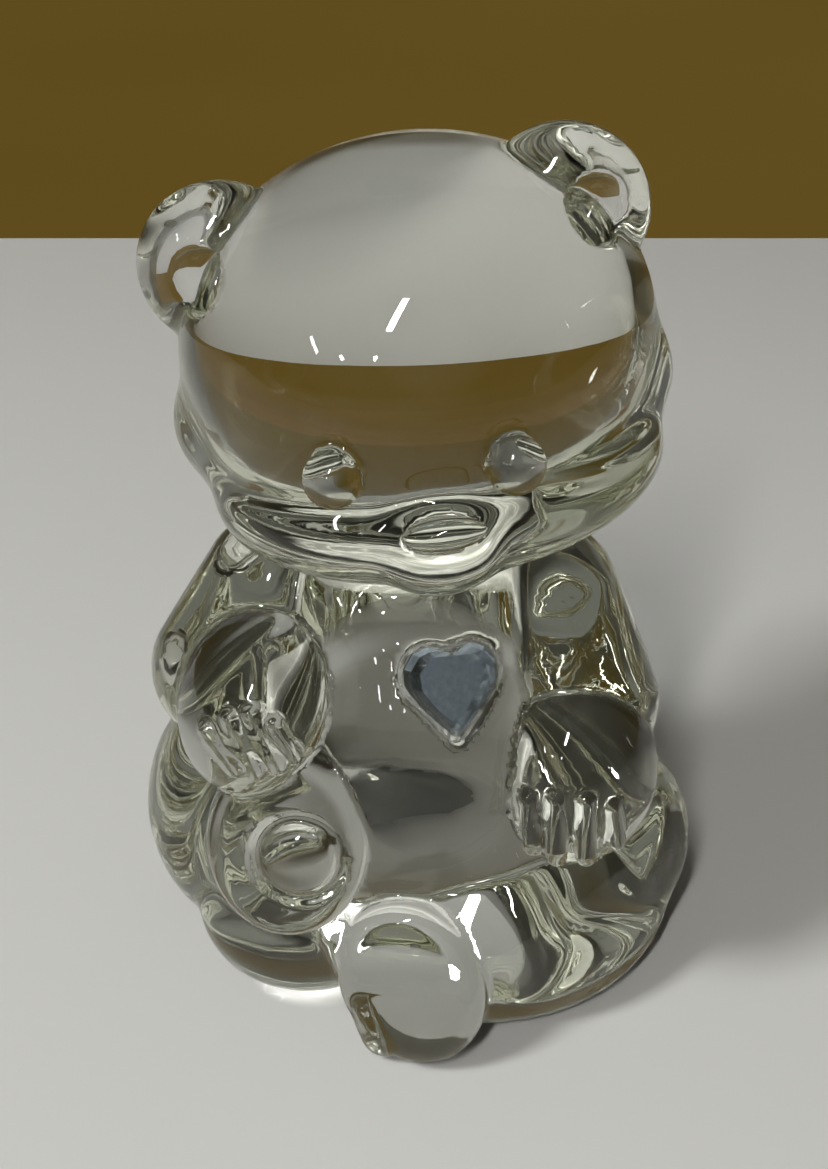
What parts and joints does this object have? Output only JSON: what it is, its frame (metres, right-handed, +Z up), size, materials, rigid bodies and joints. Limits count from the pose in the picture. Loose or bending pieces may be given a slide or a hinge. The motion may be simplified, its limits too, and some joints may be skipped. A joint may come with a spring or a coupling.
{
  "type": "crystal figurine",
  "caption": "Solid clear crystal figurine of a seated teddy bear with a faceted heart-shaped stone bonded in a recess on its chest.",
  "frame": {"origin": "on the table plane, at the middle of the torso's flat base", "axes": "+Z up, the bear faces -Y, +X towards the bear's left arm (the viewer's right)"},
  "size_m": [0.0601, 0.0515, 0.0913],
  "materials": {
    "crystal": "polished, fire-smooth clear crystal",
    "stone": "cut and polished blue-grey glass",
    "foil": "bright mirror backing",
    "adhesive": "clear cured adhesive, glossy"
  },
  "bodies": {
    "root": {"glass_body": "crystal", "heart_stone": "stone", "stone_foil": "foil", "adhesive": "adhesive"}
  },
  "joints": []
}
